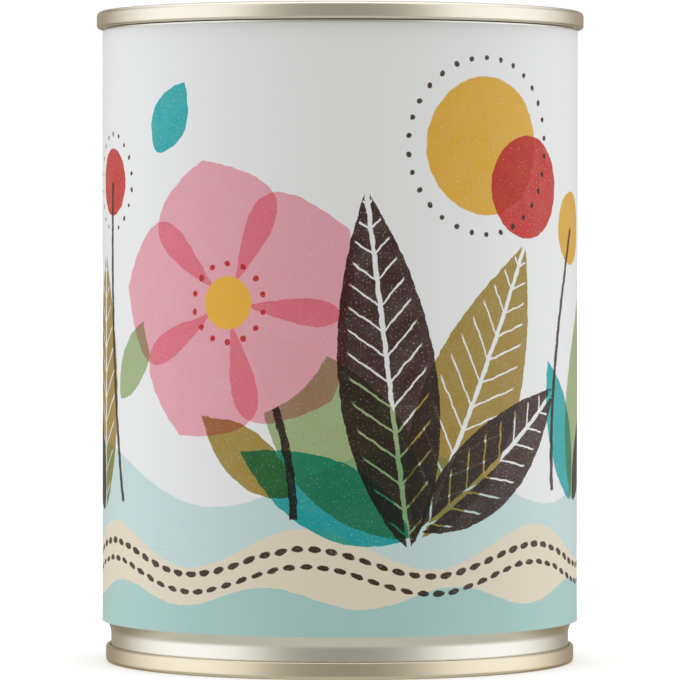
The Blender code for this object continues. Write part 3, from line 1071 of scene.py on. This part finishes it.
class FOODCAN_OT_stage(Operator):
    """Add the pale floor, the soft studio light and the camera"""

    bl_idname = "foodcan.stage"
    bl_label = "Stage"

    def execute(self, context):
        scene = context.scene
        self.add_floor(scene)
        self.light(scene)
        data = bpy.data.cameras.new("camera")
        data.lens = CAMERA_LENS_MM
        data.sensor_width = CAMERA_SENSOR_MM
        data.clip_start, data.clip_end = CAMERA_CLIP_START, 2 * FLOOR_REACH
        camera = bpy.data.objects.new("camera", data)
        camera.location = (0.0, -CAMERA_DISTANCE, CAMERA_HEIGHT)
        camera.rotation_euler = Euler((math.pi / 2 + CAMERA_PITCH, CAMERA_ROLL, 0.0))
        scene.collection.objects.link(camera)
        scene.camera = camera
        scene.view_settings.view_transform = "Standard"
        return {"FINISHED"}

    @staticmethod
    def add_floor(scene):
        """A square sheet under the can. It is seen and shaded, and from below it is clear, but it
        lights nothing: the can is lit by the studio's own lower half in its place."""
        floor_look = Finish("floor", Roughness=0.9, Specular_IOR_Level=0.0)
        floor_look.set("Base Color", FLOOR_COLOUR)
        floor_look.set("Emission Color", (1.0, 1.0, 1.0))
        floor_look.set("Emission Strength", FLOOR_GLOW)
        corners = np.array([(-1, -1, 0), (1, -1, 0), (1, 1, 0), (-1, 1, 0)]) * FLOOR_REACH
        floor = mesh_object("floor", corners, [np.array([[0, 1, 2, 3]])], floor_look.material)
        backfacing = floor_look.add("ShaderNodeNewGeometry", output=6)
        clear = floor_look.add("ShaderNodeBsdfTransparent")
        upper = Wire(floor_look, floor_look.shader.outputs[0])
        shown = floor_look.add("ShaderNodeMixShader", None, {0: backfacing, 1: upper, 2: clear})
        floor_look.plug(floor_look.tree.nodes["Material Output"].inputs["Surface"], shown)
        floor.visible_glossy = False
        floor.visible_diffuse = False

    @staticmethod
    def light(scene):
        """A soft room: bright at both sides, dim on the camera's side, brightest overhead, and
        plain white where it is seen."""
        world = bpy.data.worlds.new("studio")
        world.use_nodes = True
        scene.world = world
        room = Bench(world.node_tree)
        x, y, z = room.split(room.add("ShaderNodeTexCoord"))

        def horizon(front, stops):
            """The light of a table round the horizon, its front turned from the camera's side."""
            turn = (x.math("ARCTAN2", -y) - front).math("WRAP", math.pi, -math.pi)
            return room.add("ShaderNodeValToRGB", {"stops": stops}, {0: abs(turn) / math.pi})

        light = horizon(STUDIO_TURN, STUDIO_ROUND)
        light = room.mixed("MIX", z.over(*STUDIO_ZENITH_RISE), light, STUDIO_ZENITH)
        below = (-z).over(*STUDIO_NADIR_DROP) * NADIR_SHARE
        light = room.mixed("MIX", below, light, STUDIO_NADIR)

        mirrored = horizon(MIRRORED_TURN, MIRRORED_ROUND)
        rise = z + y * MIRRORED_LEAN
        gap = rise.over(*MIRRORED_GAP_RISE) * MIRRORED_GAP
        mirrored = room.mixed("MULTIPLY", 1.0, mirrored, room.grey(1.0 - gap))
        rear = y.over(*MIRRORED_REAR) * (1.0 - abs(x).over(*MIRRORED_SIDES) * MIRRORED_SIDE_SHARE)
        overhead = room.grey(MIRRORED_OVERHEAD - rear * MIRRORED_REAR_FALL)
        mirrored = room.mixed("MIX", rise.over(*MIRRORED_OVERHEAD_RISE), mirrored, overhead)
        table = room.add("ShaderNodeValToRGB", {"stops": MIRRORED_TABLE}, {0: y})
        on_table = (y * MIRRORED_TABLE_LEAN - z).over(*MIRRORED_TABLE_EDGE)
        mirrored = room.mixed("MIX", on_table, mirrored, table)

        light = room.mixed("MIX", room.add("ShaderNodeLightPath", output=3), light, mirrored)
        light = room.mixed("MIX", room.add("ShaderNodeLightPath"), light, (1.0, 1.0, 1.0))
        room.plug(world.node_tree.nodes["Background"].inputs["Color"], light)


class FOODCAN_PT_panel(Panel):
    """Sizes, colours and pieces of the can"""

    bl_idname = "FOODCAN_PT_panel"
    bl_label = "Food Can"
    bl_space_type = "VIEW_3D"
    bl_region_type = "UI"
    bl_category = "Food Can"

    def draw(self, context):
        column = self.layout.column()
        for operator in OPERATORS:
            column.operator(operator.bl_idname)
        for group in (context.scene.food_can_sizes, context.scene.food_can_colours):
            box = self.layout.box()
            for name in group.__annotations__:
                box.prop(group, name)


OPERATORS = (
    FOODCAN_OT_body,
    FOODCAN_OT_ends,
    FOODCAN_OT_label,
    FOODCAN_OT_sealing_rings,
    FOODCAN_OT_fruit,
    FOODCAN_OT_stage,
)
CLASSES = (FoodCanSizes, FoodCanColours, *OPERATORS, FOODCAN_PT_panel)


def register():
    for kind in CLASSES:
        bpy.utils.register_class(kind)
    bpy.types.Scene.food_can_sizes = PointerProperty(type=FoodCanSizes)
    bpy.types.Scene.food_can_colours = PointerProperty(type=FoodCanColours)


def unregister():
    del bpy.types.Scene.food_can_colours
    del bpy.types.Scene.food_can_sizes
    for kind in reversed(CLASSES):
        bpy.utils.unregister_class(kind)


def main():
    for obj in list(bpy.context.scene.objects):
        if obj.name in ("Cube", "Light", "Camera"):
            bpy.data.objects.remove(obj, do_unlink=True)
    register()
    for operator in OPERATORS:
        group, name = operator.bl_idname.split(".")
        getattr(getattr(bpy.ops, group), name)()


if __name__ == "__main__":
    main()
